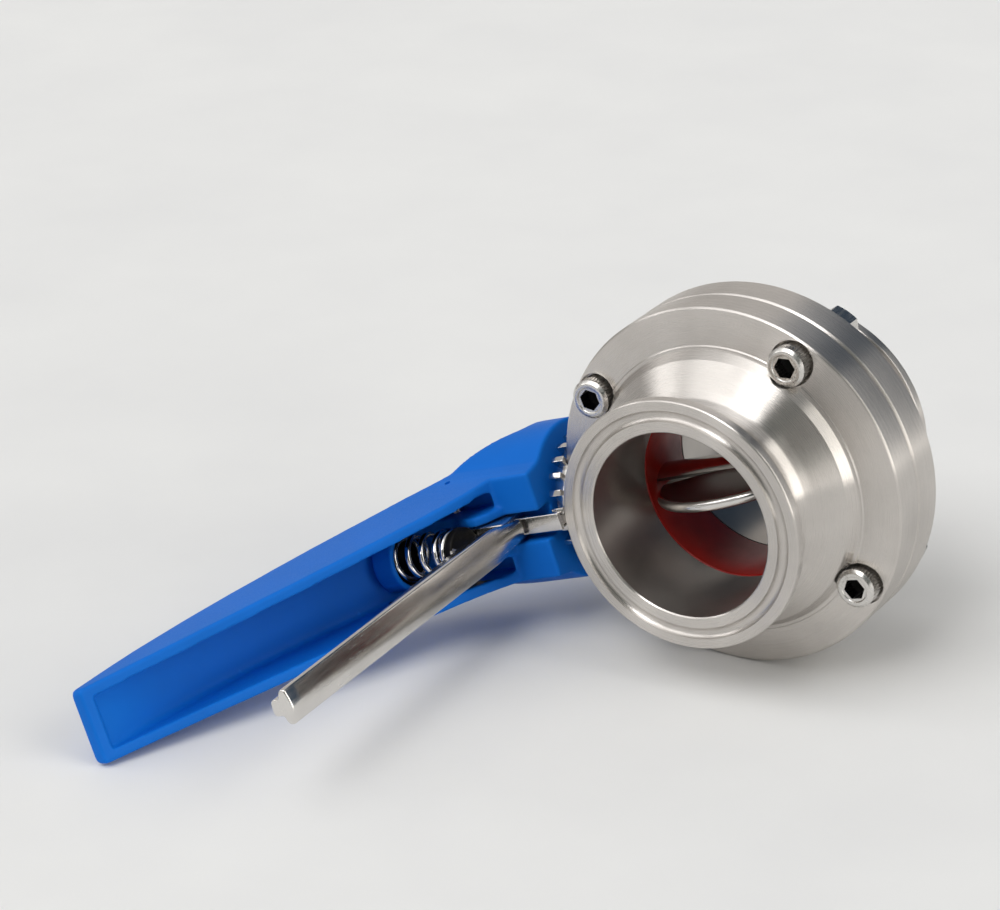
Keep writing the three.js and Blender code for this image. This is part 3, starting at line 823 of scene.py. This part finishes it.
def cheeks():
    """The two cheeks, reaching out of the head on both sides of the trigger's root."""
    nose = [(20, 60.4), (24.5, 62.8), (26.6, 65), (27, 67.4), (26.2, 70.4), (24, 73.6)]
    outline = [(17, 61), *nose, (24, 80), (17, 80)]
    cheek_pair = []
    for side in (-1, 1):
        y = sorted((side * SLOT_HALF, side * CHEEK_OUTER))
        cheek_pair.append(bevel(prism("cheek", outline, "y", *y), 0.6, 3))
    return cheek_pair


def trigger_slot():
    eye = arc(PIVOT.x, PIVOT.z, EYE_ROOM_R, 60, 180, 12)
    front = CHANNEL_START + 1
    outline = [(front, HUB_BOTTOM - 1), (front, 79), *eye, (PIVOT.x - EYE_ROOM_R, HUB_BOTTOM - 1)]
    return prism("slot", outline, "y", -SLOT_HALF, SLOT_HALF)


def build_handle():
    handle = combine(handle_blank(), [channel(), *pockets()], "DIFFERENCE")
    bottom = SPRING_TOP + 0.3
    cup = rod("cup", CUP_R, bottom - CUP_DEPTH, bottom + 4, (SPRING_X, 0), "z")
    combine(handle, [cup, *cheeks()], "UNION")
    hollow = rod("hollow", CUP_HOLLOW_R, bottom - 2 * CUP_DEPTH, bottom, (SPRING_X, 0), "z")
    well = rod("well", SCREW_WELL_R, HUB_TOP, 100, (0, 0), "z")
    combine(handle, [trigger_slot(), hollow, well], "DIFFERENCE")
    remesh = handle.modifiers.new("remesh", "REMESH")
    remesh.mode = "VOXEL"
    remesh.voxel_size = 0.42
    smooth = handle.modifiers.new("smooth", "SMOOTH")
    smooth.factor = 0.5
    smooth.iterations = 4
    bake(handle)
    half = handle_half_width(PIVOT.x)
    dimples = [rod("dimple", 0.8, half - 0.5, 20, (PIVOT.x, PIVOT.z), "y", 24)]
    dimples.append(rod("dimple", 0.8, -20, 0.5 - half, (PIVOT.x, PIVOT.z), "y", 24))
    combine(handle, dimples, "DIFFERENCE")
    decimate = handle.modifiers.new("decimate", "DECIMATE")
    decimate.ratio = 0.35
    bake(handle)
    shade(handle, 60)
    handle.name = "lever_handle"

    def choose(face):
        """Painted shade round the spring: black in its cup, and on the channel's walls beside it."""
        x, y, z = face.center
        at_cup_height = bottom - 1.8 * CUP_DEPTH < z < bottom + 0.5
        in_cup = at_cup_height and math.hypot(x - SPRING_X, y) < CUP_HOLLOW_R + 0.35
        inwards = face.normal.y * y < 0 and abs(face.normal.y) > 0.7
        wall = handle_half_width(max(x, 14)) - WALL
        on_wall = inwards and abs(abs(y) - wall) < 0.4
        beside_spring = on_wall and 25.5 < x < 38 and z > line_at(RIM_LINE, x) + 1.5
        return int(in_cup or beside_spring)

    paint_faces(handle, (BLUE_PLASTIC, PAINTED_SHADE_BLACK), choose)
    finish_piece(handle, "disc_and_handle", "handle", BLUE_PLASTIC)


# ---- trigger ------------------------------------------------------------------------------------


def trigger_section(x):
    """The lever's T section at x: a flange with a bowed face and round edges, and a rib above it."""
    half = curve_at(FLANGE_HALVES, x)
    low, high, top = (line_at(line, x) for line in (FLANGE_BOTTOM, FLANGE_TOP, RIB_TOP))
    bow = 1.25 * half / FLANGE_HALVES[-1][1]
    rib = min(RIB_HALF, half - 0.5)
    outline = [
        (0, low, 0.9 * half),
        (half - 0.1, low + bow, 0.5),
        (half, high - 0.6, 0.5),
        (half - 0.6, high, 0.5),
        (rib, high + 0.5, 0.9),
        (rib, top, 1.3),
        (-rib, top, 1.3),
        (-rib, high + 0.5, 0.9),
        (0.6 - half, high, 0.5),
        (-half, high - 0.6, 0.5),
        (0.1 - half, low + bow, 0.5),
    ]
    return [(x, y, z) for y, z in rounded(outline)]


def trigger_arm():
    sections = [trigger_section(x) for x in [*stations(ARM_START, 34, 1.5), *stations(37, ARM_END - 0.5, 4)]]
    last = sections[-1]
    middle = sum(p[2] for p in last) / len(last)
    for inset, forward in ((0.97, 0.3), (0.92, 0.45), (0.85, 0.5)):
        x = ARM_END - 0.5 + forward
        sections.append([(x, y * inset, middle + (z - middle) * inset) for _, y, z in last])
    return loft("trigger_bar", sections)


def build_trigger():
    trigger = trigger_arm()
    eye = arc(PIVOT.x, PIVOT.z, 3.5, 0, 180, 24)
    root_outline = [(PIVOT.x - 3.5, 58.4), (22, 58), (26, 58), (26, 68), (23, 70), *eye]
    root = bevel(prism("root", root_outline, "y", -3.6, 3.6), 0.5, 3)
    tooth = bevel(box("tooth", (15.2, 17.9), (-1.3, 1.3), (45.6, 60)), 0.3)
    plate = bevel(box("nose", (17.6, 18.9), (-NOSE_PLATE_HALF, NOSE_PLATE_HALF), (45.6, 60)), 0.35, 3)
    pad_outline = [
        (0, 66.4, 0),
        (PAD_R, 66.4, 0.4),
        (PAD_R, 68.6, 0.4),
        (PEG_R, 68.6, 0.2),
        (PEG_R, 71.4, 0.8),
        (0, 71.4, 0),
    ]
    pad = lathe("pad", rounded(pad_outline), "z", 64)
    pad.data.transform(Matrix.Translation((SPRING_X, 0, 0)))
    combine(trigger, [root, tooth, plate, pad], "UNION")
    shade(trigger, 40)

    def choose(face):
        """The spring's pad and its peg are painted black as shade, down to the rib that carries them."""
        x, y, z = face.center
        beside_rib = z > 66.3 and abs(y) > RIB_HALF + 0.05
        return int(math.hypot(x - SPRING_X, y) < PAD_R + 0.2 and (z > 67.2 or beside_rib))

    paint_faces(trigger, (TRIGGER_STEEL, PAINTED_SHADE_BLACK), choose)
    finish_piece(trigger, "trigger_lever", "trigger", TRIGGER_STEEL)


def build_spring():
    """A coil of round wire with its end turns closed."""
    turns_steps = round(36 * SPRING_TURNS)
    bottom, top = SPRING_BOTTOM + SPRING_WIRE_R, SPRING_TOP - SPRING_WIRE_R
    closed = 0.5 / SPRING_TURNS
    bm = bmesh.new()
    rings = []
    for k in range(turns_steps + 1):
        t = k / turns_steps
        rise = min(max((t - closed) / (1 - 2 * closed), 0), 1)
        height = bottom + (top - bottom) * rise
        angle = 2 * math.pi * SPRING_TURNS * t
        ring = []
        for a in range(14):
            turn = 2 * math.pi * a / 14
            r = SPRING_R + SPRING_WIRE_R * math.cos(turn)
            z = height + SPRING_WIRE_R * math.sin(turn)
            ring.append(bm.verts.new((SPRING_X + r * math.cos(angle), r * math.sin(angle), z)))
        rings.append(ring)
    for here, there in zip(rings, rings[1:]):
        for i in range(14):
            j = (i + 1) % 14
            bm.faces.new((here[i], here[j], there[j], there[i]))
    bm.faces.new(rings[0])
    bm.faces.new(rings[-1])
    spring = shade(new_object("coil_spring", bm), 60)
    finish_piece(spring, "disc_and_handle", "trigger_spring", SPRING_STEEL)
    height = SPRING_TOP - SPRING_BOTTOM
    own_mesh(spring)


build_body()
build_fasteners()
build_seat()
build_disc()
build_index_plate()
build_bushes()
build_handle()
build_trigger()
build_spring()

# ---- floor, light and camera --------------------------------------------------------------------

FLOOR_SIZE = 6.0
CAMERA_AZIMUTH = 33.0  # degrees round from -Y towards +X
CAMERA_ELEVATION = 23.7
CAMERA_ROLL = -2.9
CAMERA_DISTANCE = 0.8556
CAMERA_AIM = Vector((-0.0183, 0.0159, 0.0532))
CAMERA_LENS = 125.3

# The studio's patches, in degrees: azimuth, elevation, full within, faded out beyond; then the colour.
STUDIO_WALL = (0.42, 0.41, 0.40)
STUDIO_STRENGTH = 1.12
STUDIO_PATCHES = (
    (0, 88, 25, 60, (0.50, 0.50, 0.50)),
    (-150, 15, 30, 45, (0.52, 0.50, 0.48)),
    (95, 18, 28, 40, (2.55, 2.5, 2.4)),
    (152, 20, 34, 43, (0.035, 0.055, 0.085)),
    (40, 32, 24, 30, (0.09, 0.105, 0.10)),
    (33, 24, 8, 12, (0.01, 0.01, 0.01)),
    (-40, 44, 14, 22, (2.0, 2.0, 2.0)),
    (-14, 66, 15, 22, (2.1, 2.1, 2.1)),
    (3, 50, 10, 12, (5.4, 5.4, 5.4)),
    (-66, 25, 9, 11, (2.9, 2.9, 2.9)),
)


def build_floor():
    bm = bmesh.new()
    bmesh.ops.create_grid(bm, x_segments=4, y_segments=4, size=FLOOR_SIZE / 2)
    floor = new_object("floor", bm)
    paint = Paint("floor_paper", Roughness=0.75, Specular_IOR_Level=0.25)
    cloud = paint.ranged(paint.noise(14, 3), 0, 1, 0.3, 0.7)
    tone = paint.blend(cloud, (0.80, 0.80, 0.79), (0.765, 0.765, 0.76))
    paint.link(tone, "Base Color")
    paint.bump(paint.noise(700, 3), 0.05, 0.0002)
    floor.data.materials.append(paint.material)


def direction(azimuth, elevation):
    """The unit vector towards a place in the sky, in degrees."""
    a, e = math.radians(azimuth), math.radians(elevation)
    return Vector((math.sin(a) * math.cos(e), -math.cos(a) * math.cos(e), math.sin(e)))


def build_world():
    """A soft studio round the table: grey all round, with lighter and darker patches of wall."""
    world = bpy.data.worlds.new("studio")
    world.use_nodes = True
    bpy.context.scene.world = world
    tree = world.node_tree
    sky = tree.nodes["Background"]
    way = tree.nodes.new("ShaderNodeTexCoord").outputs["Generated"]
    colour = None
    for azimuth, elevation, full, edge, patch in STUDIO_PATCHES:
        dot = tree.nodes.new("ShaderNodeVectorMath")
        dot.operation = "DOT_PRODUCT"
        tree.links.new(way, dot.inputs[0])
        dot.inputs[1].default_value = direction(azimuth, elevation)
        fade = tree.nodes.new("ShaderNodeMapRange")
        fade.interpolation_type = "SMOOTHSTEP"
        tree.links.new(dot.outputs["Value"], fade.inputs["Value"])
        fade.inputs["From Min"].default_value = math.cos(math.radians(edge))
        fade.inputs["From Max"].default_value = math.cos(math.radians(full))
        mix = tree.nodes.new("ShaderNodeMix")
        mix.data_type = "RGBA"
        tree.links.new(fade.outputs["Result"], mix.inputs["Factor"])
        below, above = [i for i in mix.inputs if i.name in "AB" and i.type == "RGBA"]
        if colour:
            tree.links.new(colour, below)
        else:
            below.default_value = (*STUDIO_WALL, 1)
        above.default_value = (*patch, 1)
        colour = next(o for o in mix.outputs if o.type == "RGBA")
    tree.links.new(colour, sky.inputs["Color"])
    sky.inputs["Strength"].default_value = STUDIO_STRENGTH


def build_camera():
    camera = bpy.data.objects.new("camera", bpy.data.cameras.new("camera"))
    camera.data.lens = CAMERA_LENS
    camera.data.clip_start = 0.01
    away = direction(CAMERA_AZIMUTH, CAMERA_ELEVATION)
    turn = away.to_track_quat("Z", "Y").to_matrix().to_4x4()
    roll = Matrix.Rotation(math.radians(CAMERA_ROLL), 4, "Z")
    camera.matrix_world = Matrix.Translation(CAMERA_AIM + away * CAMERA_DISTANCE) @ turn @ roll
    bpy.context.scene.collection.objects.link(camera)
    bpy.context.scene.camera = camera


build_floor()
build_world()
build_camera()
bpy.context.scene.view_settings.view_transform = "Standard"

bpy.context.view_layer.update()
